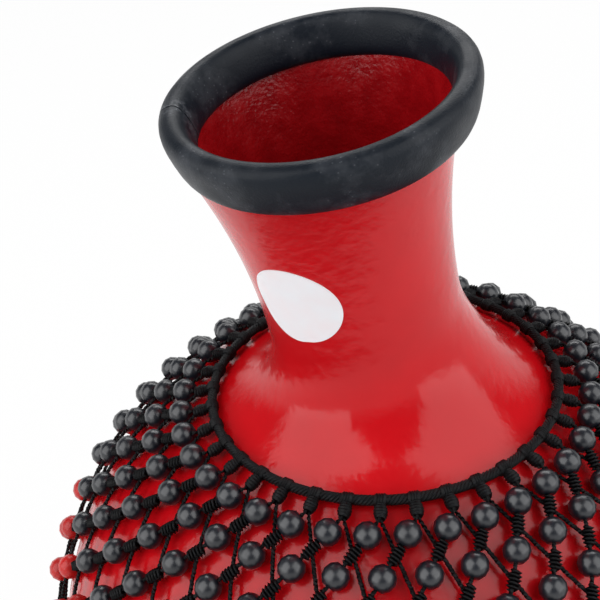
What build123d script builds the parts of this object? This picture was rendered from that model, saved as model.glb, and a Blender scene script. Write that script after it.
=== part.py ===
from build123d import *
import os
from math import acos, asin, atan2, cos, degrees, pi, radians, sin, sqrt

# A shekere: a hollow gourd-shaped shell with a leaning neck and a rubber rim, and a loose net of beads
# that hangs from a collar on the shoulder. Millimetres, +Z up, origin under the belly on the floor.

# Shell
belly_radius = 131.5  # outside of the round belly
wall = 3.0
base_radius = 45.0  # flat that the shell stands on
neck_pivot_height = 120.5  # point on the belly's axis that the neck leans about, above the belly's centre
waist_radius = 33.3  # outside of the neck at its narrowest
waist_height = 37.0  # along the neck, above the pivot, as the heights below are
flare_radius = 170.0  # curve of the neck from the waist up to the lip
lip_height = 104.6
neck_lean = 8.25  # degrees off upright
lean_heading = 172.5  # degrees round Z, the side that the neck leans to
shoulder_rings = 6  # rings that the shoulder and the flare are drawn through
flare_rings = 4

# Rubber rim
bumper_ring_radius = 44.3
bumper_height = 105.2  # middle of the rubber's section
bumper_depth = 21.2  # section of the rubber, along the flare and across it
bumper_thickness = 14.8
bumper_cant = 20.0  # degrees that the section leans outwards
groove_gap = 0.15
butt_gap = 0.5  # open joint where the two ends of the rubber meet
butt_heading = 178.0

# Bare sticker on the neck: an egg drawn round three discs, given as offset round the neck, height and radius
badge_heading = 240.0
badge_thickness = 0.3
badge_gap = 0.05
badge_discs = ((-8.0, 66.0, 3.6), (-1.5, 60.5, 8.0), (4.0, 53.0, 10.8))
badge_low = 38.0  # strip of the neck that the egg is cut from
badge_high = 80.0

# Net
strand_count = 36
net_phase = -3.0  # degrees round Z that the first stem stands at
row_count = 16
bead_diameter = 8.0
cord_diameter = 1.5
bore_gap = 0.3  # room for the cord inside a bead, on each side
rest_gap = 0.3  # between the beads and the shell
lift_travel = 4.0  # how far the net can be thrown up
split_polar = 29.6  # degrees down from the top of the belly to where each stem parts in two strings
first_knot_polar = 34.5
row_step = 6.3  # degrees from one row of knots to the next
bead_string_drift = -0.65  # share of the strand spacing that a beaded string moves round in each row
cord_bend = 12.0
knot_length = 6.0
knot_diameter = 3.9
knot_end_diameter = 2.6
knot_squeeze = 0.9  # share of a cord's diameter that two cords stand apart inside a knot
bead_share = 0.46  # where a bead sits on its run, from the upper knot

# Collar
collar_polar = 26.8
core_diameter = 2.2
core_gap = 0.3
wrap_diameter = 4.2
hitch_diameter = 5.8
hitch_length = 5.0
hitch_gap = 0.15
stem_diameter = 4.2
stem_end_diameter = 3.4
stem_seat = 0.4  # how deep a stem is rooted in its hitch
stem_swell = 0.5  # where a stem is thickest, as a share of its length

# Gathering cord under the belly
base_step = 4.6  # degrees below the last row of knots
base_cord_diameter = 2.6
base_hitch_diameter = 4.6
base_hitch_length = 4.5

belly_height = sqrt(belly_radius**2 - base_radius**2)
pivot_z = belly_height + neck_pivot_height
neck_rise = neck_pivot_height + waist_height
shoulder_radius = (neck_rise**2 + waist_radius**2 - belly_radius**2) / (2 * (belly_radius - waist_radius))
shoulder_polar = atan2(waist_radius + shoulder_radius, neck_rise)
shoulder_joint = belly_radius * cos(shoulder_polar)  # height of the neck's foot above the belly's centre
lip_angle = asin((lip_height - waist_height) / flare_radius)


def neck_plane(height, lean):
    """Plane square to the neck at a height above the pivot, where the neck has turned by lean degrees."""
    heading = Location((0, 0, pivot_z), (0, 0, lean_heading))
    turn = Location((0, 0, 0), (0, lean, 0))
    return Plane(heading * turn * Location((0, 0, height), (0, 0, -lean_heading)))


def neck_rings(inset):
    """Radius, height and lean of each ring of the neck, inset from the outside by a wall."""
    foot_radius = sqrt((belly_radius - inset) ** 2 - shoulder_joint**2)
    yield foot_radius, shoulder_joint - neck_pivot_height, 0
    for ring in range(1, shoulder_rings + 1):
        share = ring / shoulder_rings
        angle = shoulder_polar + share * (pi / 2 - shoulder_polar)
        reach = shoulder_radius + inset
        radius = waist_radius + shoulder_radius - reach * sin(angle)
        yield radius, waist_height - reach * cos(angle), neck_lean * share**2 * (3 - 2 * share)
    for ring in range(1, flare_rings + 1):
        angle = lip_angle * ring / flare_rings
        reach = flare_radius + inset
        radius = waist_radius + flare_radius - reach * cos(angle)
        yield radius, waist_height + reach * sin(angle), neck_lean


def flare_strip(inner_inset, outer_inset, low, high):
    """Closed outline between two curves of the flare, in the neck's own section."""
    centre = (waist_radius + flare_radius, waist_height)
    arcs = []
    for inset in (inner_inset, outer_inset):
        reach = flare_radius + inset
        low_angle = degrees(asin((low - waist_height) / reach))
        high_angle = degrees(asin((high - waist_height) / reach))
        arcs.append(CenterArc(centre, reach, 180 - high_angle, high_angle - low_angle))
    Line(arcs[0] @ 0, arcs[1] @ 0)
    Line(arcs[0] @ 1, arcs[1] @ 1)


def on_belly(polar, heading, standoff):
    """Point above the belly, polar degrees down from its top. The lower half leaves room for the lift."""
    down = radians(polar)
    reach = belly_radius + standoff + lift_travel * max(0, -cos(down))
    round_z = radians(heading)
    radius = reach * sin(down)
    return Vector(radius * cos(round_z), radius * sin(round_z), belly_height + reach * cos(down))


def meridian_plane(heading):
    """Upright plane through Z, with its x outwards and its y up."""
    turn = radians(heading)
    return Plane((0, 0, 0), x_dir=(cos(turn), sin(turn), 0), z_dir=(sin(turn), -cos(turn), 0))


neck_frame = neck_plane(0, neck_lean)
neck_axis = Axis(neck_frame.origin, neck_frame.z_dir)
neck_section = Plane(neck_frame.origin, x_dir=neck_frame.x_dir, z_dir=-neck_frame.y_dir)

# Net lattice: the polar angle of each row of knots, and the two routes down from a stem
strand_step = 360 / strand_count
row_polars = [split_polar] + [first_knot_polar + row * row_step for row in range(row_count)]
base_polar = row_polars[-1] + base_step
longest_run = radians(max(row_step, abs(bead_string_drift) * strand_step) * sqrt(2))
bead_dip = (belly_radius + bead_diameter) * (1 - cos(longest_run / 2))
bead_string_standoff = bead_diameter / 2 + rest_gap + bead_dip
bare_string_standoff = bead_string_standoff - knot_squeeze * cord_diameter
knot_standoff = (bead_string_standoff + bare_string_standoff) / 2
collar_centre = on_belly(collar_polar, 0, hitch_diameter / 2 + rest_gap)
base_centre = on_belly(base_polar, 0, base_hitch_diameter / 2 + rest_gap)


def string_route(drift, standoff):
    """Corners of one string, from inside its stem through each knot to the gathering cord."""
    corners = [
        on_belly(polar, drift * strand_step * row, standoff) for row, polar in enumerate(row_polars)
    ]
    heading = drift * strand_step * len(row_polars)
    end = Vector(base_centre.X, 0, base_centre.Z).rotate(Axis.Z, heading)
    stop = end - (end - corners[-1]).normalized() * (base_cord_diameter / 2 + hitch_gap + cord_diameter / 2)
    return corners + [stop]


bead_corners = string_route(bead_string_drift, bead_string_standoff)
bare_corners = string_route(1 + bead_string_drift, bare_string_standoff)


with BuildPart() as shell:
    with BuildSketch(Plane.XZ):
        with BuildLine():
            Line((0, 0), (base_radius, 0))
            low_angle = -degrees(acos(base_radius / belly_radius))
            outside_arc = 90 - degrees(shoulder_polar) - low_angle
            outside = CenterArc((0, belly_height), belly_radius, low_angle, outside_arc)
            hollow = belly_radius - wall
            floor_angle = -degrees(asin((belly_height - wall) / hollow))
            top_angle = degrees(asin(shoulder_joint / hollow))
            inside = CenterArc((0, belly_height), hollow, floor_angle, top_angle - floor_angle)
            Line(outside @ 1, inside @ 1)
            Polyline(inside @ 0, (0, wall), (0, 0))
        make_face()
    revolve(axis=Axis.Z)
    for inset, mode in ((0, Mode.ADD), (wall, Mode.SUBTRACT)):
        for radius, height, lean in neck_rings(inset):
            with BuildSketch(neck_plane(height, lean)):
                Circle(radius)
        loft(mode=mode)

with BuildPart() as rim_bumper:
    with BuildSketch(neck_section):
        with Locations((bumper_ring_radius, bumper_height)):
            Ellipse(bumper_depth / 2, bumper_thickness / 2, rotation=90 - bumper_cant)
        with BuildLine():
            flare_strip(-groove_gap, wall + groove_gap, bumper_height - bumper_depth, lip_height + groove_gap)
        make_face(mode=Mode.SUBTRACT)
    revolve(axis=neck_axis)
    with BuildSketch(neck_plane(bumper_height, neck_lean)):
        with PolarLocations(bumper_ring_radius, 1, start_angle=butt_heading):
            Rectangle(2 * bumper_thickness, butt_gap)
    extrude(amount=bumper_depth, both=True, mode=Mode.SUBTRACT)

with BuildPart() as neck_badge:
    with BuildSketch(neck_section):
        with BuildLine():
            flare_strip(-badge_gap - badge_thickness, -badge_gap, badge_low, badge_high)
        make_face()
    revolve(axis=neck_axis)
    badge_side = neck_plane(0, neck_lean).rotated((0, 0, badge_heading))
    with BuildSketch(Plane(badge_side.origin, x_dir=badge_side.y_dir, z_dir=badge_side.x_dir)):
        for across, height, radius in badge_discs:
            with Locations((across, height)):
                Circle(radius)
        make_hull()
    extrude(amount=2 * waist_radius, mode=Mode.INTERSECT)

with BuildPart() as collar_core:
    with Locations((0, 0, collar_centre.Z)):
        Torus(collar_centre.X, core_diameter / 2)

with BuildPart() as collar_wrap:
    with Locations((0, 0, collar_centre.Z)):
        Torus(collar_centre.X, wrap_diameter / 2)
        Torus(collar_centre.X, core_diameter / 2 + core_gap, mode=Mode.SUBTRACT)

with BuildPart() as one_hitch:
    hitch_arc = degrees(hitch_length / collar_centre.X)
    with BuildSketch(meridian_plane(-hitch_arc / 2)):
        with Locations((collar_centre.X, collar_centre.Z)):
            Circle(hitch_diameter / 2)
            Circle(wrap_diameter / 2 + hitch_gap, mode=Mode.SUBTRACT)
    revolve(axis=Axis.Z, revolution_arc=hitch_arc)
    split_point = on_belly(split_polar, 0, knot_standoff)
    stem_line = (split_point - collar_centre).normalized()
    stem_plane = Plane(collar_centre + stem_line * (hitch_diameter / 2 - stem_seat), z_dir=stem_line)
    stem_length = (split_point - stem_plane.origin).length
    stem_sections = ((0, stem_end_diameter), (stem_swell, stem_diameter), (1, stem_end_diameter))
    for share, diameter in stem_sections:
        with BuildSketch(stem_plane.offset(share * stem_length)):
            Circle(diameter / 2)
    loft()

with BuildPart() as collar_hitches:
    with PolarLocations(0, strand_count, start_angle=net_phase):
        add(one_hitch.part)

with BuildPart() as bead_string:
    with BuildLine() as bead_route:
        FilletPolyline(*bead_corners, radius=cord_bend)
    with BuildSketch(Plane(bead_route.line @ 0, z_dir=bead_route.line % 0)):
        Circle(cord_diameter / 2)
    sweep()

with BuildPart() as bead_strings:
    with PolarLocations(0, strand_count, start_angle=net_phase):
        add(bead_string.part)

with BuildPart() as knot:
    with BuildSketch(Plane.XZ):
        with BuildLine():
            low = (knot_end_diameter / 2, -knot_length / 2)
            high = (knot_end_diameter / 2, knot_length / 2)
            ThreePointArc(low, (knot_diameter / 2, 0), high)
            Polyline(high, (0, knot_length / 2), (0, -knot_length / 2), low)
        make_face()
    revolve(axis=Axis.Z)

with BuildPart() as bare_string:
    with BuildLine() as bare_route:
        FilletPolyline(*bare_corners, radius=cord_bend)
    with BuildSketch(Plane(bare_route.line @ 0, z_dir=bare_route.line % 0)):
        Circle(cord_diameter / 2)
    sweep()

with BuildPart() as bare_strings:
    with PolarLocations(0, strand_count, start_angle=net_phase):
        add(bare_string.part)

with BuildPart() as knot_column:
    knot_planes = []
    for row in range(1, row_count + 1):
        along = bead_corners[row + 1] - bead_corners[row - 1]
        middle = on_belly(row_polars[row], bead_string_drift * strand_step * row, knot_standoff)
        knot_planes.append(Plane(middle, z_dir=along))
    with Locations(*knot_planes):
        add(knot.part)

with BuildPart() as knots:
    with PolarLocations(0, strand_count, start_angle=net_phase):
        add(knot_column.part)

with BuildPart() as bead:
    Sphere(bead_diameter / 2)
    Cylinder(cord_diameter / 2 + bore_gap, bead_diameter, mode=Mode.SUBTRACT)

bead_rows = []
for row in range(row_count):
    run = bead_corners[row + 1] - bead_corners[row]
    with BuildPart() as first_bead:
        with Locations(Plane(bead_corners[row] + run * bead_share, z_dir=run)):
            add(bead.part)
    with BuildPart() as bead_row:
        with PolarLocations(0, strand_count, start_angle=net_phase):
            add(first_bead.part)
    bead_rows.append(bead_row)

with BuildPart() as base_cord:
    with Locations((0, 0, base_centre.Z)):
        Torus(base_centre.X, base_cord_diameter / 2)

with BuildPart() as one_base_hitch:
    base_arc = degrees(base_hitch_length / base_centre.X)
    base_heading = bead_string_drift * strand_step * len(row_polars)
    with BuildSketch(meridian_plane(base_heading - base_arc / 2)):
        with Locations((base_centre.X, base_centre.Z)):
            Circle(base_hitch_diameter / 2)
            Circle(base_cord_diameter / 2 + hitch_gap, mode=Mode.SUBTRACT)
    revolve(axis=Axis.Z, revolution_arc=base_arc)

with BuildPart() as base_hitches:
    with PolarLocations(0, strand_count, start_angle=net_phase):
        add(one_base_hitch.part)

pieces = {
    "shell": shell,
    "rim_bumper": rim_bumper,
    "neck_badge": neck_badge,
    "collar_core": collar_core,
    "collar_wrap": collar_wrap,
    "collar_hitches": collar_hitches,
    "bead_strings": bead_strings,
    "bare_strings": bare_strings,
    "knots": knots,
    "base_cord": base_cord,
    "base_hitches": base_hitches,
}
for row, bead_row in enumerate(bead_rows, start=1):
    pieces[f"bead_row_{row:02d}"] = bead_row

os.makedirs("parts", exist_ok=True)
for name, piece in pieces.items():
    piece.part.label = name
    export_step(piece.part, f"parts/{name}.step")
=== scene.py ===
"""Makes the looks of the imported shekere: shell, rubber rim, bare sticker and a knotted net of beads."""

import math

import bpy
import numpy as np
from bpy.props import FloatProperty, FloatVectorProperty, IntProperty, PointerProperty
from mathutils import Matrix


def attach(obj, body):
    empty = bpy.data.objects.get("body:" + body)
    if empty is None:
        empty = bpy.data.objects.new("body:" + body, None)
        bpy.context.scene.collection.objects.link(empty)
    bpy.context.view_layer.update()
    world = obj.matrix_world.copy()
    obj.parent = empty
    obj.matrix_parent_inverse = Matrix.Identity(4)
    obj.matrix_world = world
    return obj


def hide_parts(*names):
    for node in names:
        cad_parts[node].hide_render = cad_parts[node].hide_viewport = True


bl_info = {
    "name": "Shekere dresser",
    "version": (1, 0, 0),
    "blender": (4, 5, 0),
    "location": "View3D > Sidebar > Shekere",
    "description": "Pieces and finishes for a packed shekere",
    "category": "Object",
}

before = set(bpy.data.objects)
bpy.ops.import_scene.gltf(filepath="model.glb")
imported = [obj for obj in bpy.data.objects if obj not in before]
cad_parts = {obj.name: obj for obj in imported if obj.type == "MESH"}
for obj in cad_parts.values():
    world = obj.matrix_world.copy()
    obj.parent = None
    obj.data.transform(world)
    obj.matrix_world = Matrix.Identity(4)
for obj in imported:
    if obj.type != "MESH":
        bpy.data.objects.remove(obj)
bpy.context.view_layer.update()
BEAD_ROWS = sorted(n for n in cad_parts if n.startswith("bead_row_"))
BLACK_ROWS = 5
FULL_TURN = 2 * math.pi
UP = np.array((0.0, 0.0, 1.0))
SMOOTH_ANGLE = math.radians(50)
# The sticker's outline goes round two discs: offset round the neck, height above its pivot, radius
BADGE_DISCS = ((-0.0026, 0.0566, 0.0119), (0.0, 0.0602, 0.0151))


def length_of(name, description, default):
    """A size that a user may change, in metres."""
    return FloatProperty(
        name=name, description=description, default=default, unit="LENGTH", subtype="DISTANCE", precision=5
    )


def degrees_of(name, description, default):
    """An angle that a user may change, in degrees."""
    return FloatProperty(name=name, description=description, default=default)


def color_of(name, description, default):
    """A colour that a user may change."""
    return FloatVectorProperty(
        name=name, description=description, default=default, subtype="COLOR", size=3, min=0.0, max=1.0
    )


class ShekereNet(bpy.types.PropertyGroup):
    """Sizes of the net: the CAD model's lattice, with beads, knots and cords as in the photograph."""

    belly_radius: length_of("Belly radius", "Outside of the round belly", 0.1315)
    belly_height: length_of("Belly height", "Centre of the belly above the floor", 0.12356)
    lift_travel: length_of("Lift", "Room under the lower half for the net's lift", 0.004)
    strands: IntProperty(name="Strands", description="Stems round the collar", default=36, min=3)
    rows: IntProperty(name="Rows", description="Rows of knots", default=16, min=1)
    phase: degrees_of("Phase", "Degrees round Z of the first stem", -3.0)
    split_polar: degrees_of("Split", "Degrees from the top to where a stem parts in two", 29.6)
    first_knot_polar: degrees_of("First knots", "Degrees from the top to the first knots", 34.5)
    row_step: degrees_of("Row step", "Degrees from one row of knots to the next", 6.3)
    base_step: degrees_of("Base step", "Degrees from the last knots to the gathering cord", 4.6)
    drift: FloatProperty(
        name="Drift",
        description="Share of a strand's spacing that a beaded string moves per row",
        default=-0.65,
    )
    bead_standoff: length_of("Bead string height", "Beaded strings above the belly", 0.00525)
    bare_standoff: length_of("Bare string height", "Bare strings above the belly", 0.0039)
    cord_radius: length_of("Cord radius", "Half the thickness of a string", 0.00085)
    cord_lay: length_of("Cord lay", "Length of one twist of a string's three strands", 0.0052)
    bead_radius: length_of("Bead radius", "Half the thickness of a bead", 0.0045)
    bead_share: FloatProperty(
        name="Bead place", description="Where a bead sits on its run, from the upper knot", default=0.47
    )
    knot_length: length_of("Knot length", "Length of a coil knot", 0.0062)
    knot_radius: length_of("Knot radius", "Half the thickness of a coil knot", 0.0026)
    knot_end_radius: length_of("Knot end radius", "Half the thickness of a knot's ends", 0.0020)
    knot_turns: IntProperty(name="Knot turns", description="Turns of cord in a coil knot", default=5, min=2)
    collar_polar: degrees_of("Collar", "Degrees from the top to the collar", 26.8)
    collar_standoff: length_of("Collar height", "Collar's middle above the belly", 0.0032)
    core_radius: length_of("Core radius", "Half the thickness of the collar's core", 0.0011)
    wrap_radius: length_of("Whipping radius", "Half the thickness of the whipped collar", 0.0018)
    hitch_radius: length_of("Hitch radius", "Half the thickness of a hitch on the collar", 0.0024)
    hitch_length: length_of("Hitch length", "Length of a hitch along the collar", 0.005)
    stem_radius: length_of("Stem radius", "Half the thickness of a wrapped stem", 0.0024)
    stem_end_radius: length_of("Stem end radius", "Half the thickness of a stem's ends", 0.0018)
    base_standoff: length_of("Gathering height", "Gathering cord's middle above the belly", 0.0026)
    base_radius: length_of("Gathering radius", "Half the thickness of the gathering cord", 0.0013)
    base_hitch_radius: length_of("Lower hitch radius", "Half the thickness of a hitch on that cord", 0.0023)
    base_hitch_length: length_of("Lower hitch length", "Length of such a hitch", 0.0045)


class ShekereBody(bpy.types.PropertyGroup):
    """Sizes of the shell, its rim and its sticker, as measured on the photograph."""

    wall: length_of("Wall", "Thickness of the shell", 0.003)
    pivot_height: length_of("Pivot", "Point that the neck leans about, above the belly's centre", 0.1205)
    waist_radius: length_of("Waist radius", "Neck at its narrowest", 0.0330)
    waist_height: length_of("Waist height", "Waist above the pivot, along the neck", 0.037)
    flare_radius: length_of("Flare radius", "Curve of the neck from the waist to the lip", 0.215)
    lip_height: length_of("Lip height", "Lip above the pivot, along the neck", 0.1104)
    lean: degrees_of("Lean", "Degrees that the neck leans off upright", 8.2)
    lean_heading: degrees_of("Lean heading", "Degrees round Z of the side that it leans to", 195.9)
    rim_lean: degrees_of("Rim lean", "Degrees that the rim's axis leans off upright", 7.76)
    rim_lean_heading: degrees_of("Rim lean heading", "Degrees round Z of the side that it leans to", 210.0)
    rim_inner_leg: FloatProperty(
        name="Rim inner leg",
        description="Share of the section's lower half that is left inside the lip",
        default=0.72,
    )
    rim_ring_radius: length_of("Rim radius", "Middle of the rubber's section from the neck's axis", 0.0446)
    rim_centre: FloatVectorProperty(
        name="Rim centre",
        description="Middle of the ring that the rubber makes",
        default=(-0.0131, -0.0044, 0.3542),
        subtype="TRANSLATION",
        unit="LENGTH",
        precision=5,
    )
    rim_depth: length_of("Rim depth", "Section of the rubber along the neck", 0.0180)
    rim_thickness: length_of("Rim thickness", "Section of the rubber across the neck", 0.0088)
    rim_cant: degrees_of("Rim cant", "Degrees that the section leans outwards", 15.0)
    butt_heading: degrees_of("Butt heading", "Degrees round the neck of the rubber's joint", 179.0)
    butt_gap: length_of("Butt gap", "Open joint between the rubber's two ends", 0.0005)
    badge_heading: degrees_of("Sticker heading", "Degrees round the neck of the sticker", 239.0)
    badge_gap: length_of("Sticker gap", "Sticker's back above the shell", 0.00005)
    badge_thickness: length_of("Sticker thickness", "Thickness of the sticker", 0.0003)


class ShekereFinish(bpy.types.PropertyGroup):
    """Colours of the finishes."""

    shell_outside: color_of("Shell outside", "Glossy red of the shell", (0.55, 0.004, 0.008))
    shell_shade: color_of("Shell shade", "Deeper red in the clouded parts", (0.46, 0.003, 0.006))
    shell_inside: color_of("Shell inside", "Darker red laminate of the hollow", (0.22, 0.002, 0.004))
    rim_black: color_of("Rim black", "Rubber of the rim", (0.004, 0.007, 0.012))
    rim_dust: color_of("Rim dust", "Pale dust and scuffs on the rubber", (0.16, 0.17, 0.19))
    cord_black: color_of("Cord black", "Net's cord", (0.003, 0.003, 0.0035))
    # Painted highlight: a paler fibre colour that stands in for the cord's glints
    cord_painted_glint: color_of("Cord glint", "Paler fibres of the cord", (0.013, 0.015, 0.018))
    bead_black: color_of("Bead black", "Beads of the upper rows", (0.006, 0.008, 0.013))
    bead_red: color_of("Bead red", "Beads of the lower rows", (0.58, 0.016, 0.014))
    badge_white: color_of("Sticker white", "Bare sticker", (0.84, 0.85, 0.88))
    badge_edge: color_of("Sticker edge", "Tint of the sticker in its cloudy parts", (0.86, 0.78, 0.80))


class ShekereStage(bpy.types.PropertyGroup):
    """Floor, light and camera."""

    lens: FloatProperty(name="Lens", description="Focal length on a 36 mm sensor", default=79.2)
    floor_size: length_of("Floor size", "Side of the pale floor", 12.0)
    floor_white: color_of("Floor white", "Colour of the floor", (0.92, 0.92, 0.92))
    ceiling: color_of("Ceiling", "Grey of the room above the lamps", (0.13, 0.13, 0.14))


def unit(rows):
    return rows / np.linalg.norm(rows, axis=-1, keepdims=True)


# Net lattice, from the same formula as the CAD model


def on_belly(net, polar, heading, standoff):
    """Point above the belly, polar degrees down from its top. The lower half leaves room for the lift."""
    down, turn = math.radians(polar), math.radians(heading)
    reach = net.belly_radius + standoff + net.lift_travel * max(0.0, -math.cos(down))
    radius = reach * math.sin(down)
    height = net.belly_height + reach * math.cos(down)
    return np.array((radius * math.cos(turn), radius * math.sin(turn), height))


def belly_centre(net):
    return np.array((0.0, 0.0, net.belly_height))


def knot_standoff(net):
    """Middle of a knot above the belly, halfway between the two strings that it ties."""
    return (net.bead_standoff + net.bare_standoff) / 2


def row_polars(net):
    """Degrees from the top to the end of the stems and to each row of knots."""
    return [net.split_polar] + [net.first_knot_polar + row * net.row_step for row in range(net.rows)]


def string_corners(net, drift, standoff):
    """Corners of one string from its stem through each knot to the gathering cord."""
    step = 360 / net.strands
    polars = row_polars(net)
    corners = [on_belly(net, p, net.phase + drift * step * row, standoff) for row, p in enumerate(polars)]
    end = on_belly(net, polars[-1] + net.base_step, net.phase + drift * step * len(polars), net.base_standoff)
    stop = end - unit(end - corners[-1]) * (net.base_radius + net.cord_radius)
    return corners + [stop]


# Cord geometry


def read_line(curve_object):
    """Points that Blender gives for a curve with no bevel. The curve is removed."""
    bpy.context.view_layer.update()
    mesh = bpy.data.meshes.new_from_object(curve_object)
    line = np.array([v.co for v in mesh.vertices])
    curve = curve_object.data
    bpy.data.objects.remove(curve_object)
    bpy.data.curves.remove(curve)
    bpy.data.meshes.remove(mesh)
    return line


def nurbs_line(corners, resolution):
    """Smooth line of a cord whose control points are the route's corners."""
    curve = bpy.data.curves.new("route", "CURVE")
    curve.dimensions = "3D"
    curve.resolution_u = resolution
    spline = curve.splines.new("NURBS")
    spline.points.add(len(corners) - 1)
    for point, corner in zip(spline.points, corners):
        point.co = (*corner, 1.0)
    spline.order_u = 3
    spline.use_endpoint_u = True
    route = bpy.data.objects.new("route", curve)
    bpy.context.scene.collection.objects.link(route)
    return read_line(route)


def ring_line(radius, height, resolution):
    """Closed round line about Z, with its first point repeated at the end."""
    bpy.ops.object.select_all(action="DESELECT")
    bpy.ops.curve.primitive_nurbs_circle_add(radius=radius, location=(0, 0, height))
    ring = bpy.context.object
    ring.data.resolution_u = resolution
    bpy.ops.object.transform_apply(location=True, rotation=False, scale=True)
    line = read_line(ring)
    line[:, :2] *= radius / np.linalg.norm(line[:, :2], axis=1).max()
    return np.vstack([line, line[:1]])


def run_of(line):
    """Length along a line at each of its points."""
    return np.concatenate([[0.0], np.cumsum(np.linalg.norm(np.diff(line, axis=0), axis=1))])


def axes_along(line, outward):
    """Side and outward directions across a line at each of its points."""
    tangent = unit(np.gradient(line, axis=0))
    side = unit(np.cross(tangent, outward))
    return side, np.cross(side, tangent)


def tube_faces(rings, sides):
    """Quads of a tube, ring after ring, and then its two end caps."""
    ring = np.arange(rings - 1)[:, None] * sides
    corner = np.arange(sides)[None, :]
    after = (corner + 1) % sides
    quads = np.stack([ring + corner, ring + after, ring + sides + after, ring + sides + corner], axis=-1)
    faces = quads.reshape(-1, 4).tolist()
    last = (rings - 1) * sides
    return faces + [list(range(sides))[::-1], list(range(last, last + sides))]


def twisted_tube(line, outward, radius, lay, lobes=3, per_lobe=3, groove=0.30):
    """A cord laid up from a few strands, which wind round it once in each lay."""
    side, normal = axes_along(line, outward)
    sides = lobes * per_lobe
    around = np.arange(sides) * FULL_TURN / sides
    reach = radius * (1 - groove * (0.5 - 0.5 * np.cos(lobes * around)))
    turn = around[None, :] + FULL_TURN * run_of(line)[:, None] / lay
    across = np.cos(turn)[..., None] * side[:, None] + np.sin(turn)[..., None] * normal[:, None]
    points = line[:, None] + reach[None, :, None] * across
    return points.reshape(-1, 3), tube_faces(len(line), sides)


def coil_tube(line, outward, radii, turns, thread, steps=12, sides=5, crest=math.pi / 2):
    """A thread wound round a line. Radii are the coil's outside radius at each point of the line."""
    side, normal = axes_along(line, outward)
    run = run_of(line)
    count = int(round(turns * steps)) + 1
    at = np.linspace(0.0, run[-1], count)

    def along(rows):
        return np.stack([np.interp(at, run, rows[:, k]) for k in range(3)], axis=1)

    turn = np.linspace(0.0, FULL_TURN * turns, count)[:, None]
    spoke = unit(np.cos(turn) * along(side) + np.sin(turn) * along(normal))
    wound = along(line) + spoke * (np.interp(at, run, radii) - thread)[:, None]
    across, out = axes_along(wound, spoke)
    around = crest + np.arange(sides) * FULL_TURN / sides
    rim = np.cos(around)[None, :, None] * across[:, None] + np.sin(around)[None, :, None] * out[:, None]
    return (wound[:, None] + thread * rim).reshape(-1, 3), tube_faces(count, sides)


def joined(parts):
    """Several meshes as one."""
    points, faces, start = [], [], 0
    for some, those in parts:
        points.append(some)
        faces += [[start + corner for corner in face] for face in those]
        start += len(some)
    return np.vstack(points), faces


def round_net(net, part):
    """One copy of a mesh for each strand, turned about Z."""
    points, faces = part
    copies = []
    for strand in range(net.strands):
        turn = FULL_TURN * strand / net.strands
        c, s = math.cos(turn), math.sin(turn)
        copies.append((points @ np.array(((c, s, 0), (-s, c, 0), (0, 0, 1))), faces))
    return joined(copies)


def make_piece(name, part, finish, body, slot, *nodes, inner=None, smooth=SMOOTH_ANGLE):
    """A piece that rides on a body and stands for some CAD nodes. Inner: a second finish, its first face."""
    points, faces = part
    mesh = bpy.data.meshes.new(name)
    mesh.from_pydata(points.tolist(), [], faces)
    mesh.materials.append(finish)
    if inner is not None:
        mesh.materials.append(inner[0])
        for face in mesh.polygons[inner[1] :]:
            face.material_index = 1
    piece = bpy.data.objects.new(name, mesh)
    bpy.context.scene.collection.objects.link(piece)
    bpy.ops.object.select_all(action="DESELECT")
    piece.select_set(True)
    bpy.context.view_layer.objects.active = piece
    bpy.ops.object.mode_set(mode="EDIT")
    bpy.ops.mesh.select_all(action="SELECT")
    bpy.ops.mesh.normals_make_consistent(inside=False)
    bpy.ops.object.mode_set(mode="OBJECT")
    bpy.ops.object.shade_smooth_by_angle(angle=smooth)
    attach(piece, body)
    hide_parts(*nodes)


# Finishes


def add_node(tree, kind, inputs=(), **values):
    """A node with its settings, and its inputs either linked from a socket or set to a value."""
    made = tree.nodes.new(kind)
    for key, value in values.items():
        setattr(made, key, value)
    for key, value in dict(inputs).items():
        if isinstance(value, bpy.types.NodeSocket):
            tree.links.new(value, made.inputs[key])
        else:
            made.inputs[key].default_value = value
    return made


def new_group(name, numbers, outputs):
    """An empty shader group with number inputs and outputs, and its two end nodes."""
    group = bpy.data.node_groups.new(name, "ShaderNodeTree")
    for key, value in numbers.items():
        group.interface.new_socket(key, in_out="INPUT", socket_type="NodeSocketFloat").default_value = value
    for key in outputs:
        group.interface.new_socket(key, in_out="OUTPUT", socket_type="NodeSocketFloat")
    return group, group.nodes.new("NodeGroupInput").outputs, group.nodes.new("NodeGroupOutput").inputs


def grain_group():
    """Clouds and fine grain at two scales: a mask for colour and roughness, and a height for bump."""
    if "Grain" in bpy.data.node_groups:
        return bpy.data.node_groups["Grain"]
    group, given, out = new_group(
        "Grain", {"Cloud scale": 40.0, "Grain scale": 400.0, "Grain share": 0.5}, ("Clouds", "Height")
    )
    place = add_node(group, "ShaderNodeTexCoord").outputs["Object"]
    clouds = add_node(
        group, "ShaderNodeTexNoise", {"Vector": place, "Scale": given["Cloud scale"], "Detail": 3.0}
    ).outputs[0]
    fine = add_node(
        group, "ShaderNodeTexNoise", {"Vector": place, "Scale": given["Grain scale"], "Detail": 2.0}
    ).outputs[0]
    height = add_node(
        group, "ShaderNodeMix", {0: given["Grain share"], 2: clouds, 3: fine}, data_type="FLOAT"
    ).outputs[0]
    group.links.new(clouds, out["Clouds"])
    group.links.new(height, out["Height"])
    return group


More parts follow.
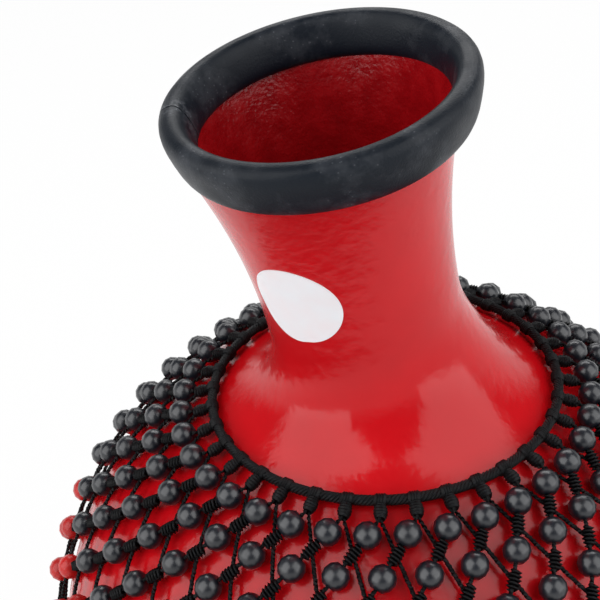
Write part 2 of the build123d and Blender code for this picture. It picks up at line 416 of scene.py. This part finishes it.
def specks_group(rub_share=0.35):
    """Small pale specks and rubbed patches, as a mask from 0 to 1."""
    if "Specks" in bpy.data.node_groups:
        return bpy.data.node_groups["Specks"]
    group, given, out = new_group("Specks", {"Scale": 600.0, "Rub scale": 60.0, "Amount": 0.5}, ("Mask",))
    place = add_node(group, "ShaderNodeTexCoord").outputs["Object"]
    cells = add_node(
        group, "ShaderNodeTexVoronoi", {"Vector": place, "Scale": given["Scale"]}
    ).outputs["Distance"]
    dots = add_node(
        group,
        "ShaderNodeMapRange",
        {"Value": cells, "From Min": 0.22, "From Max": 0.10, "To Min": 0.0, "To Max": 1.0},
    ).outputs[0]
    rubs = add_node(
        group,
        "ShaderNodeTexNoise",
        {"Vector": place, "Scale": given["Rub scale"], "Detail": 5.0, "Roughness": 0.65},
    ).outputs[0]
    patches = add_node(
        group, "ShaderNodeMapRange", {"Value": rubs, "From Min": 0.50, "From Max": 0.72}
    ).outputs[0]
    dusty = add_node(group, "ShaderNodeMath", {0: dots, 1: patches}, operation="MULTIPLY").outputs[0]
    both = add_node(
        group, "ShaderNodeMath", {0: patches, 1: rub_share, 2: dusty}, operation="MULTIPLY_ADD"
    ).outputs[0]
    mask = add_node(
        group, "ShaderNodeMath", {0: both, 1: given["Amount"]}, operation="MULTIPLY", use_clamp=True
    ).outputs[0]
    group.links.new(mask, out["Mask"])
    return group


def new_material(name, constants):
    """A material with a Principled shader whose plain values are set on its own sockets."""
    material = bpy.data.materials.new(name)
    material.use_nodes = True
    tree = material.node_tree
    shader = next(n for n in tree.nodes if n.type == "BSDF_PRINCIPLED")
    for key, value in constants.items():
        shader.inputs[key].default_value = value
    return material, tree, shader


def place_group(tree, group, **numbers):
    """A shader group in a material, with its own values. Underscores stand for spaces in their names."""
    made = tree.nodes.new("ShaderNodeGroup")
    made.node_tree = group
    for key, value in numbers.items():
        made.inputs[key.replace("_", " ")].default_value = value
    return made.outputs


def blend_color(tree, mask, first, second):
    """Colour that goes from the first to the second by a mask. Each is a colour or a socket."""
    pair = [c if isinstance(c, bpy.types.NodeSocket) else (*c, 1.0) for c in (first, second)]
    return add_node(
        tree, "ShaderNodeMix", {0: mask, 6: pair[0], 7: pair[1]}, data_type="RGBA"
    ).outputs[2]


def spread(tree, value, low, high, start=0.3, end=0.7):
    """A value between start and end spread over low to high."""
    return add_node(
        tree,
        "ShaderNodeMapRange",
        {"Value": value, "From Min": start, "From Max": end, "To Min": low, "To Max": high},
    ).outputs[0]


def bump(tree, shader, height, distance, strength):
    """Bump on a shader's normal."""
    inputs = {"Height": height, "Distance": distance, "Strength": strength}
    normal = add_node(tree, "ShaderNodeBump", inputs).outputs[0]
    tree.links.new(normal, shader.inputs["Normal"])


def shell_finish(finish):
    """Glossy red with slow clouds and a slight ripple."""
    material, tree, shader = new_material("shell gloss red", {"Specular IOR Level": 0.30})
    skin = place_group(tree, grain_group(), Cloud_scale=28.0, Grain_scale=210.0, Grain_share=0.35)
    color = blend_color(tree, spread(tree, skin["Clouds"], 0, 1), finish.shell_outside, finish.shell_shade)
    tree.links.new(color, shader.inputs["Base Color"])
    tree.links.new(spread(tree, skin["Clouds"], 0.13, 0.22), shader.inputs["Roughness"])
    bump(tree, shader, skin["Height"], distance=0.0011, strength=0.45)
    return material


def hollow_finish(finish):
    """Darker red laminate of the hollow, lumpy and part glossy."""
    material, tree, shader = new_material("hollow laminate", {"Specular IOR Level": 0.28})
    fibres = place_group(tree, grain_group(), Cloud_scale=150.0, Grain_scale=620.0, Grain_share=0.45)
    color = blend_color(tree, spread(tree, fibres["Clouds"], 0, 0.4), finish.shell_inside, finish.shell_shade)
    tree.links.new(color, shader.inputs["Base Color"])
    tree.links.new(spread(tree, fibres["Clouds"], 0.16, 0.34), shader.inputs["Roughness"])
    bump(tree, shader, fibres["Height"], distance=0.0010, strength=0.6)
    return material


def rim_finish(finish, joint):
    """Matte black rubber with dust, a fine moulded grain and pale scuffs where its two ends meet."""
    material, tree, shader = new_material("rim rubber", {"Specular IOR Level": 0.20})
    grain = place_group(tree, grain_group(), Cloud_scale=70.0, Grain_scale=1500.0, Grain_share=0.6)
    dust = place_group(tree, specks_group(), Scale=650.0, Rub_scale=55.0, Amount=0.55)["Mask"]
    place = add_node(tree, "ShaderNodeTexCoord").outputs["Object"]
    reach = add_node(
        tree, "ShaderNodeVectorMath", {0: place, 1: joint}, operation="DISTANCE"
    ).outputs["Value"]
    scuffs = place_group(tree, specks_group(), Scale=1100.0, Rub_scale=380.0, Amount=1.0)["Mask"]
    near = spread(tree, reach, low=2.6, high=0.0, start=0.002, end=0.008)
    worn = add_node(
        tree, "ShaderNodeMath", {0: near, 1: scuffs, 2: dust}, operation="MULTIPLY_ADD"
    ).outputs[0]
    tree.links.new(blend_color(tree, worn, finish.rim_black, finish.rim_dust), shader.inputs["Base Color"])
    tree.links.new(spread(tree, grain["Clouds"], 0.36, 0.52), shader.inputs["Roughness"])
    bump(tree, shader, grain["Height"], distance=0.0003, strength=0.5)
    return material


def cord_finish(finish):
    """Black twisted cord with painted glints on its fibres and a slight shine."""
    material, tree, shader = new_material("net cord", {"Specular IOR Level": 0.15})
    fibres = place_group(tree, grain_group(), Cloud_scale=900.0, Grain_scale=3800.0, Grain_share=0.5)
    # Painted highlight: the fibre mask lightens the cord's base colour where it would glint
    glint = spread(tree, fibres["Height"], 0, 1, start=0.52, end=0.66)
    color = blend_color(tree, glint, finish.cord_black, finish.cord_painted_glint)
    tree.links.new(color, shader.inputs["Base Color"])
    tree.links.new(spread(tree, fibres["Clouds"], 0.32, 0.50), shader.inputs["Roughness"])
    bump(tree, shader, fibres["Height"], distance=0.00030, strength=0.9)
    return material


def bead_finish(name, color, shine, finish, depth=0.72):
    """Satin moulded bead with a trace of dust and a skin that isn't quite even."""
    material, tree, shader = new_material(name, {"Specular IOR Level": shine})
    skin = place_group(tree, grain_group(), Cloud_scale=120.0, Grain_scale=520.0, Grain_share=0.3)
    dust = place_group(tree, specks_group(), Scale=1500.0, Rub_scale=140.0, Amount=0.10)["Mask"]
    deeper = [depth * c for c in color]
    body = blend_color(tree, spread(tree, skin["Clouds"], 0, 1), color, deeper)
    tree.links.new(blend_color(tree, dust, body, finish.rim_dust), shader.inputs["Base Color"])
    tree.links.new(spread(tree, skin["Clouds"], 0.27, 0.35), shader.inputs["Roughness"])
    bump(tree, shader, skin["Height"], distance=0.0002, strength=0.25)
    return material


def badge_finish(finish):
    """Bare white sticker, a little clouded, with a fine paper grain."""
    material, tree, shader = new_material("bare sticker", {"Specular IOR Level": 0.4})
    paper = place_group(tree, grain_group(), Cloud_scale=130.0, Grain_scale=1800.0, Grain_share=0.6)
    tint = spread(tree, paper["Clouds"], 0, 0.6)
    color = blend_color(tree, tint, finish.badge_white, finish.badge_edge)
    tree.links.new(color, shader.inputs["Base Color"])
    tree.links.new(spread(tree, paper["Clouds"], 0.28, 0.40), shader.inputs["Roughness"])
    bump(tree, shader, paper["Height"], distance=0.0001, strength=0.3)
    return material


# Shell, rim and sticker


def leaning(middle, height, lean, lean_heading):
    """Frame at a height above a point, on an axis through it that leans by some degrees to a heading."""
    pivot = Matrix.Translation(middle)
    heading = Matrix.Rotation(math.radians(lean_heading), 4, "Z")
    turn = Matrix.Rotation(math.radians(lean), 4, "Y")
    return np.array(pivot @ heading @ turn @ Matrix.Translation((0, 0, height)) @ heading.inverted())


def neck_frame(body, net, height, lean):
    """Frame square to the neck at a height above its pivot, where it has turned by lean degrees."""
    return leaning((0.0, 0.0, net.belly_height + body.pivot_height), height, lean, body.lean_heading)


def rim_frame(body):
    return leaning(body.rim_centre, 0.0, body.rim_lean, body.rim_lean_heading)


def moved(matrix, points):
    return points @ matrix[:3, :3].T + matrix[:3, 3]


def neck_radius(body, height):
    """Outside radius of the flare at a height above the pivot."""
    reach = body.flare_radius
    return body.waist_radius + reach - math.sqrt(reach**2 - (height - body.waist_height) ** 2)


def shell_rings(body, net, inset, belly_steps=26, shoulder_steps=16, flare_steps=14):
    """Radius, height and lean of each ring of one side of the wall, from the base to the lip.

    The lean comes in smoothly over the shoulder.
    """
    belly, waist = net.belly_radius, body.waist_radius
    rise = body.pivot_height + body.waist_height
    shoulder = (rise**2 + waist**2 - belly**2) / (2 * (belly - waist))
    polar = math.atan2(waist + shoulder, rise)
    joint = belly * math.cos(polar)
    reach = belly - inset
    low = math.acos(-(net.belly_height - inset) / reach)
    high = math.acos(joint / reach)
    rings = []
    for angle in np.linspace(low, high, belly_steps):
        rings.append((reach * math.sin(angle), reach * math.cos(angle) - body.pivot_height, 0.0))
    for step in range(1, shoulder_steps + 1):
        share = step / shoulder_steps
        angle = polar + share * (math.pi / 2 - polar)
        radius = waist + shoulder - (shoulder + inset) * math.sin(angle)
        height = body.waist_height - (shoulder + inset) * math.cos(angle)
        rings.append((radius, height, body.lean * share**2 * (3 - 2 * share)))
    lip_angle = math.asin((body.lip_height - body.waist_height) / body.flare_radius)
    for step in range(1, flare_steps + 1):
        angle = lip_angle * step / flare_steps
        arm = body.flare_radius + inset
        radius = waist + body.flare_radius - arm * math.cos(angle)
        rings.append((radius, body.waist_height + arm * math.sin(angle), body.lean))
    return rings


def shell_part(body, net, segments=120):
    """Closed wall of the shell, up its outside and down its inside, and its first inside face."""
    outside, inside = shell_rings(body, net, 0.0), shell_rings(body, net, body.wall)
    around = np.arange(segments) * FULL_TURN / segments
    circle = np.stack([np.cos(around), np.sin(around), np.zeros(segments)], axis=1)
    rings = [moved(neck_frame(body, net, h, lean), circle * r) for r, h, lean in outside + inside[::-1]]
    return (np.vstack(rings), tube_faces(len(rings), segments)), len(outside) * segments


def rim_part(body, sides=28, steps=160, squareness=2.9):
    """Rubber band round the lip, open at its butt joint."""
    half_gap = math.degrees(math.asin(body.butt_gap / 2 / body.rim_ring_radius))
    start = math.radians(body.butt_heading + half_gap)
    sweep = np.linspace(start, start + FULL_TURN - math.radians(2 * half_gap), steps)
    around = np.arange(sides) * FULL_TURN / sides
    across = np.sign(np.cos(around)) * np.abs(np.cos(around)) ** (2 / squareness) * body.rim_thickness / 2
    along = np.sign(np.sin(around)) * np.abs(np.sin(around)) ** (2 / squareness) * body.rim_depth / 2
    along = np.where((across < 0) & (along < 0), along * body.rim_inner_leg, along)
    cant = math.radians(body.rim_cant)
    radius = body.rim_ring_radius + across * math.cos(cant) + along * math.sin(cant)
    height = along * math.cos(cant) - across * math.sin(cant)
    points = np.stack(
        [
            np.cos(sweep)[:, None] * radius,
            np.sin(sweep)[:, None] * radius,
            np.repeat(height[None], steps, axis=0),
        ],
        axis=-1,
    )
    return moved(rim_frame(body), points.reshape(-1, 3)), tube_faces(steps, sides)


def badge_part(body, net, corners=72, shares=(0.12, 0.32, 0.52, 0.72, 0.88, 0.97, 1.0)):
    """Egg-shaped sticker that follows the neck. Shares place its rings from the middle to the edge."""
    discs = np.array(BADGE_DISCS)
    turn = np.arange(corners) * FULL_TURN / corners
    spokes = np.stack([np.cos(turn), np.sin(turn)], axis=1)
    nearest = (spokes @ discs[:, :2].T + discs[:, 2]).argmax(axis=1)
    outline = discs[nearest, :2] + spokes * discs[nearest, 2:]
    centre = outline.mean(axis=0)
    front = [(share, body.badge_gap + body.badge_thickness) for share in shares]
    back = [(share, body.badge_gap) for share in shares[::-1]]
    heading = Matrix.Rotation(math.radians(body.badge_heading), 4, "Z")
    rings = []
    for share, lift in front + back:
        flat = centre + share * (outline - centre)
        radius = np.array([neck_radius(body, height) for height in flat[:, 1]])
        out = np.sqrt(radius**2 - flat[:, 0] ** 2)
        grow = (radius + lift) / radius
        rings.append(np.stack([out * grow, flat[:, 0] * grow, flat[:, 1]], axis=1))
    points = moved(np.array(heading), np.vstack(rings))
    return moved(neck_frame(body, net, 0.0, body.lean), points), tube_faces(len(rings), corners)


def take_mesh(made):
    """Points and faces of a modelled object, which is then removed."""
    mesh = made.data
    points = np.array([v.co for v in mesh.vertices])
    faces = [list(face.vertices) for face in mesh.polygons]
    bpy.data.objects.remove(made)
    bpy.data.meshes.remove(mesh)
    return points, faces


def string_axes(net, middle, along):
    """Rows of a frame on a string: outwards from the belly, sideways and along the string."""
    along = unit(along)
    side = unit(np.cross(along, middle - belly_centre(net)))
    return np.stack([np.cross(side, along), side, along])


def net_cord():
    return bpy.data.materials.get("net cord") or cord_finish(bpy.context.scene.shekere_finish)


class SHEKERE_OT_shell(bpy.types.Operator):
    """Makes the shell, glossy red outside and a rough laminate inside"""

    bl_idname = "shekere.shell"
    bl_label = "Make the shell"

    def execute(self, context):
        scene = context.scene
        part, inside = shell_part(scene.shekere_body, scene.shekere_net)
        finish = shell_finish(scene.shekere_finish)
        inner = (hollow_finish(scene.shekere_finish), inside)
        make_piece("gourd_shell", part, finish, "shell", "shell_red", "shell", inner=inner)
        return {"FINISHED"}


class SHEKERE_OT_rim(bpy.types.Operator):
    """Makes the rubber rim with its butt joint"""

    bl_idname = "shekere.rim"
    bl_label = "Make the rim"

    def execute(self, context):
        scene = context.scene
        body = scene.shekere_body
        turn = math.radians(body.butt_heading)
        spot = np.array((math.cos(turn), math.sin(turn), 0.0)) * body.rim_ring_radius
        # The scuffs centre on a spot a third of the section's depth above its middle
        spot[2] = body.rim_depth / 3
        joint = moved(rim_frame(body), spot)
        finish = rim_finish(scene.shekere_finish, joint.tolist())
        make_piece("rubber_rim", rim_part(body), finish, "shell", "rim_rubber", "rim_bumper")
        return {"FINISHED"}


class SHEKERE_OT_badge(bpy.types.Operator):
    """Makes the bare sticker on the neck"""

    bl_idname = "shekere.badge"
    bl_label = "Make the sticker"

    def execute(self, context):
        scene = context.scene
        part = badge_part(scene.shekere_body, scene.shekere_net)
        finish = badge_finish(scene.shekere_finish)
        make_piece("bare_sticker", part, finish, "shell", "badge_white", "neck_badge")
        return {"FINISHED"}


class SHEKERE_OT_beads(bpy.types.Operator):
    """Threads the black and the red rows of beads"""

    bl_idname = "shekere.beads"
    bl_label = "Thread the beads"

    segments = 12
    rings = 6
    mouth = 0.86
    fullness = 1.02
    black_shine = 0.72
    red_shine = 0.40

    def one_bead(self, net):
        """A round bead along Z whose two ends dip in where the string enters."""
        bpy.ops.object.select_all(action="DESELECT")
        bpy.ops.mesh.primitive_uv_sphere_add(
            segments=self.segments,
            ring_count=self.rings,
            radius=net.bead_radius * self.fullness,
            location=(0, 0, 0),
        )
        points, faces = take_mesh(bpy.context.object)
        ends = np.abs(points[:, 2]) > net.bead_radius
        points[ends, 2] *= self.mouth
        return points, faces

    def execute(self, context):
        finish, net = context.scene.shekere_finish, context.scene.shekere_net
        finishes = {
            "bead_black": bead_finish("bead black", finish.bead_black, self.black_shine, finish),
            "bead_red": bead_finish("bead red", finish.bead_red, self.red_shine, finish),
        }
        points, faces = self.one_bead(net)
        corners = string_corners(net, net.drift, net.bead_standoff)
        for row, node in enumerate(BEAD_ROWS):
            run = corners[row + 1] - corners[row]
            middle = corners[row] + net.bead_share * run
            placed = middle + points @ string_axes(net, middle, run)
            slot = "bead_black" if row < BLACK_ROWS else "bead_red"
            part = round_net(net, (placed, faces))
            make_piece(f"beads_{row + 1:02d}", part, finishes[slot], "net", slot, node)
        return {"FINISHED"}


class SHEKERE_OT_strings(bpy.types.Operator):
    """Lays the beaded and the bare strings of twisted cord"""

    bl_idname = "shekere.strings"
    bl_label = "Lay the strings"

    smoothness = 12

    def execute(self, context):
        net = context.scene.shekere_net
        centre = belly_centre(net)
        routes = (
            ("bead_strings", net.drift, net.bead_standoff),
            ("bare_strings", 1 + net.drift, net.bare_standoff),
        )
        for node, drift, standoff in routes:
            line = nurbs_line(string_corners(net, drift, standoff), self.smoothness)
            cord = twisted_tube(line, unit(line - centre), net.cord_radius, net.cord_lay)
            make_piece(f"net_{node}", round_net(net, cord), net_cord(), "net", "net_cord", node)
        return {"FINISHED"}


class SHEKERE_OT_knots(bpy.types.Operator):
    """Ties a coil knot at each crossing of the strings"""

    bl_idname = "shekere.knots"
    bl_label = "Tie the knots"

    steps = 5
    sides = 3
    rings = 12
    thread_fullness = 1.25

    def one_knot(self, net):
        """Turns of cord wound along Z round the two strings that they tie."""
        share = np.linspace(-1.0, 1.0, self.rings)
        line = np.stack([np.zeros(self.rings), np.zeros(self.rings), share * net.knot_length / 2], axis=1)
        swell = np.sqrt(1 - share**2)
        radii = net.knot_end_radius + (net.knot_radius - net.knot_end_radius) * swell
        outward = np.repeat(np.array(((1.0, 0.0, 0.0),)), self.rings, axis=0)
        thread = net.knot_length / net.knot_turns / 2 * self.thread_fullness
        return coil_tube(line, outward, radii, net.knot_turns, thread, self.steps, self.sides)

    def execute(self, context):
        net = context.scene.shekere_net
        points, faces = self.one_knot(net)
        corners = string_corners(net, net.drift, net.bead_standoff)
        step = 360 / net.strands
        column = []
        for row, polar in enumerate(row_polars(net)[1:], start=1):
            middle = on_belly(net, polar, net.phase + net.drift * step * row, knot_standoff(net))
            along = corners[row + 1] - corners[row - 1]
            column.append((middle + points @ string_axes(net, middle, along), faces))
        knots = round_net(net, joined(column))
        make_piece("net_knots", knots, net_cord(), "net", "net_cord", "knots", smooth=math.pi)
        return {"FINISHED"}


def net_ring(net, polar, standoff, smoothness):
    """Radius and height of a cord ring round the belly, its line, and the way outwards along it."""
    centre = on_belly(net, polar, 0, standoff)
    line = ring_line(centre[0], centre[2], smoothness)
    return (centre[0], centre[2]), line, unit(line * np.array((1.0, 1.0, 0.0)))


def wound_hitch(ring, heading, radius, length, turns, thread):
    """Turns of cord round a ring of the net, given by its radius and height, at one heading."""
    turn = math.radians(heading)
    spoke = np.array((math.cos(turn), math.sin(turn), 0.0))
    along = np.cross(UP, spoke)
    middle = np.array((spoke[0] * ring[0], spoke[1] * ring[0], ring[1]))
    line = middle + np.linspace(-0.5, 0.5, 2 * turns + 1)[:, None] * (length - 2 * thread) * along
    outward = np.repeat(spoke[None], len(line), axis=0)
    return coil_tube(line, outward, np.full(len(line), radius), turns, thread)


class SHEKERE_OT_collar(bpy.types.Operator):
    """Whips the collar, and winds its hitches and the stems that the strings hang from"""

    bl_idname = "shekere.collar"
    bl_label = "Whip the collar"

    hitch_turns = 4
    stem_turns = 5
    whip_lay = 0.012
    whip_strands = 9
    whip_groove = 0.22
    ring_smoothness = 48
    steps_per_turn = 3
    thread_share = 0.9
    filling_share = 0.72

    def execute(self, context):
        net = context.scene.shekere_net
        ring, line, outward = net_ring(net, net.collar_polar, net.collar_standoff, self.ring_smoothness)
        core = twisted_tube(line, outward, net.core_radius, net.cord_lay)
        make_piece("collar_inner_cord", core, net_cord(), "collar_core", "net_cord", "collar_core")
        length = run_of(line)[-1]
        lay = length / round(length / self.whip_lay)
        whipping = twisted_tube(
            line, outward, net.wrap_radius, lay, self.whip_strands, groove=self.whip_groove
        )
        make_piece("collar_whipping", whipping, net_cord(), "net", "net_cord", "collar_wrap")
        hitch = wound_hitch(
            ring, net.phase, net.hitch_radius, net.hitch_length, self.hitch_turns, net.cord_radius
        )
        split = on_belly(net, net.split_polar, net.phase, knot_standoff(net))
        root = on_belly(net, net.collar_polar, net.phase, net.collar_standoff)
        shares = np.linspace(0.0, 1.0, self.steps_per_turn * self.stem_turns)[:, None]
        stem = root + unit(split - root) * net.wrap_radius
        stem = stem + shares * (split - stem)
        spoke = np.repeat(unit(split - belly_centre(net))[None], len(stem), axis=0)
        swell = np.sin(math.pi * shares[:, 0])
        radii = net.stem_end_radius + (net.stem_radius - net.stem_end_radius) * swell
        wrapping = coil_tube(stem, spoke, radii, self.stem_turns, net.cord_radius * self.thread_share)
        filling = twisted_tube(stem, spoke, net.stem_end_radius * self.filling_share, net.cord_lay)
        hitches = round_net(net, joined([hitch, wrapping, filling]))
        make_piece("collar_hitches_wound", hitches, net_cord(), "net", "net_cord", "collar_hitches")
        return {"FINISHED"}


class SHEKERE_OT_base(bpy.types.Operator):
    """Makes the gathering cord under the belly, with its hitches"""

    bl_idname = "shekere.base"
    bl_label = "Gather the net"

    hitch_turns = 4
    ring_smoothness = 64
    lay_factor = 2
    thread_share = 0.66

    def execute(self, context):
        net = context.scene.shekere_net
        polars = row_polars(net)
        polar = polars[-1] + net.base_step
        ring, line, outward = net_ring(net, polar, net.base_standoff, self.ring_smoothness)
        cord = twisted_tube(line, outward, net.base_radius, self.lay_factor * net.cord_lay)
        make_piece("gathering_cord", cord, net_cord(), "net", "net_cord", "base_cord")
        heading = net.phase + net.drift * 360 / net.strands * len(polars)
        thread = net.cord_radius * self.thread_share
        hitch = wound_hitch(
            ring, heading, net.base_hitch_radius, net.base_hitch_length, self.hitch_turns, thread
        )
        make_piece("gathering_hitches", round_net(net, hitch), net_cord(), "net", "net_cord", "base_hitches")
        return {"FINISHED"}


class SHEKERE_OT_stage(bpy.types.Operator):
    """Adds the pale floor, the soft light and the camera"""

    bl_idname = "shekere.stage"
    bl_label = "Set the stage"

    camera_place = (0.0, -0.3718, 0.5276)
    camera_right = (0.9962, 0.0130, -0.0862)
    camera_up = (0.0645, 0.5546, 0.8296)
    camera_back = (0.0586, -0.8320, 0.5516)
    lamps = (
        ("left lamp", (-0.95, -0.50, 1.00), (1.55, 1.7), 20.0),
        ("right lamp", (0.95, -0.45, 0.95), (1.50, 1.7), 17.5),
        ("back lamp", (0.10, 1.00, 1.05), (1.2, 0.5), 7.0),
    )
    aim = (0.0, 0.0, 0.2)
    sensor = 36.0
    near_clip = 0.01
    floor_drop = 0.0005
    floor_glow = 0.96
    horizon = (0.03, 0.30)
    room_light = 0.55

    def white_share(self, tree):
        """1 for what the camera sees directly, in gloss or through glass, and 0 for light on the object."""
        path = tree.nodes.new("ShaderNodeLightPath").outputs
        seen = add_node(
            tree, "ShaderNodeMath", {0: path["Is Camera Ray"], 1: path["Is Glossy Ray"]}, operation="MAXIMUM"
        ).outputs[0]
        return add_node(
            tree, "ShaderNodeMath", {0: seen, 1: path["Is Transmission Ray"]}, operation="MAXIMUM"
        ).outputs[0]

    def floor_finish(self, stage):
        material, tree, shader = new_material(
            "pale floor",
            {"Base Color": (*stage.floor_white, 1.0), "Roughness": 0.9, "Specular IOR Level": 0.1},
        )
        glow = add_node(tree, "ShaderNodeEmission", {"Color": (1.0, 1.0, 1.0, 1.0), "Strength": 1.0})
        share = add_node(
            tree, "ShaderNodeMath", {0: self.white_share(tree), 1: self.floor_glow}, operation="MULTIPLY"
        ).outputs[0]
        mix = add_node(tree, "ShaderNodeMixShader", {0: share, 1: shader.outputs[0], 2: glow.outputs[0]})
        end = next(n for n in tree.nodes if n.type == "OUTPUT_MATERIAL")
        tree.links.new(mix.outputs[0], end.inputs["Surface"])
        return material

    def light_room(self, scene, stage):
        """White where the camera looks and round the horizon, with a grey ceiling that lights the object."""
        world = bpy.data.worlds.new("studio")
        world.use_nodes = True
        scene.world = world
        tree = world.node_tree
        sky = next(n for n in tree.nodes if n.type == "BACKGROUND")
        way = add_node(tree, "ShaderNodeTexCoord").outputs["Generated"]
        rise = add_node(tree, "ShaderNodeSeparateXYZ", {0: way}).outputs["Z"]
        high = spread(tree, rise, 0.0, 1.0, *self.horizon)
        seen = tree.nodes.new("ShaderNodeLightPath").outputs["Is Camera Ray"]
        unseen = add_node(tree, "ShaderNodeMath", {0: 1.0, 1: seen}, operation="SUBTRACT").outputs[0]
        grey = add_node(tree, "ShaderNodeMath", {0: high, 1: unseen}, operation="MULTIPLY").outputs[0]
        color = blend_color(tree, grey, (1.0, 1.0, 1.0), stage.ceiling)
        strength = spread(tree, self.white_share(tree), self.room_light, 1.0, start=0.0, end=1.0)
        tree.links.new(color, sky.inputs["Color"])
        tree.links.new(strength, sky.inputs["Strength"])

    def execute(self, context):
        stage = context.scene.shekere_stage
        bpy.ops.object.select_all(action="DESELECT")
        bpy.ops.mesh.primitive_plane_add(size=stage.floor_size, location=(0, 0, -self.floor_drop))
        floor = bpy.context.object
        floor.name = "floor"
        bpy.ops.object.transform_apply(location=True, rotation=False, scale=True)
        floor.data.materials.append(self.floor_finish(stage))
        for name, place, size, power in self.lamps:
            bpy.ops.object.light_add(type="AREA", location=place)
            lamp = bpy.context.object
            lamp.name = name
            lamp.data.shape = "RECTANGLE"
            lamp.data.size, lamp.data.size_y = size
            lamp.data.energy = power
            way = Matrix.Translation(self.aim).translation - lamp.location
            lamp.rotation_euler = way.to_track_quat("-Z", "Y").to_euler()
        self.light_room(context.scene, stage)
        bpy.ops.object.camera_add(location=self.camera_place)
        camera = bpy.context.object
        columns = (self.camera_right, self.camera_up, self.camera_back, self.camera_place)
        rows = [[column[row] for column in columns] for row in range(3)]
        camera.matrix_world = Matrix(rows + [[0, 0, 0, 1]])
        camera.data.lens = stage.lens
        camera.data.sensor_width = self.sensor
        camera.data.clip_start = self.near_clip
        context.scene.camera = camera
        context.scene.view_settings.view_transform = "Standard"
        return {"FINISHED"}


OPERATORS = (
    SHEKERE_OT_shell,
    SHEKERE_OT_rim,
    SHEKERE_OT_badge,
    SHEKERE_OT_beads,
    SHEKERE_OT_strings,
    SHEKERE_OT_knots,
    SHEKERE_OT_collar,
    SHEKERE_OT_base,
    SHEKERE_OT_stage,
)


class SHEKERE_PT_dresser(bpy.types.Panel):
    """Steps of the dressing, in order"""

    bl_label = "Shekere"
    bl_idname = "SHEKERE_PT_dresser"
    bl_space_type = "VIEW_3D"
    bl_region_type = "UI"
    bl_category = "Shekere"

    def draw(self, context):
        for step in OPERATORS:
            self.layout.operator(step.bl_idname)
        for group in (getattr(context.scene, name) for name in GROUPS):
            box = self.layout.box()
            for key in group.__annotations__:
                box.prop(group, key)


GROUPS = {
    "shekere_body": ShekereBody,
    "shekere_net": ShekereNet,
    "shekere_finish": ShekereFinish,
    "shekere_stage": ShekereStage,
}
CLASSES = (*GROUPS.values(), *OPERATORS, SHEKERE_PT_dresser)


def register():
    for cls in CLASSES:
        bpy.utils.register_class(cls)
    for name, group in GROUPS.items():
        setattr(bpy.types.Scene, name, PointerProperty(type=group))


def unregister():
    for name in GROUPS:
        delattr(bpy.types.Scene, name)
    for cls in reversed(CLASSES):
        bpy.utils.unregister_class(cls)


def main():
    register()
    bpy.ops.shekere.shell()
    bpy.ops.shekere.rim()
    bpy.ops.shekere.badge()
    bpy.ops.shekere.beads()
    bpy.ops.shekere.strings()
    bpy.ops.shekere.knots()
    bpy.ops.shekere.collar()
    bpy.ops.shekere.base()
    bpy.ops.shekere.stage()


if __name__ == "__main__":
    main()
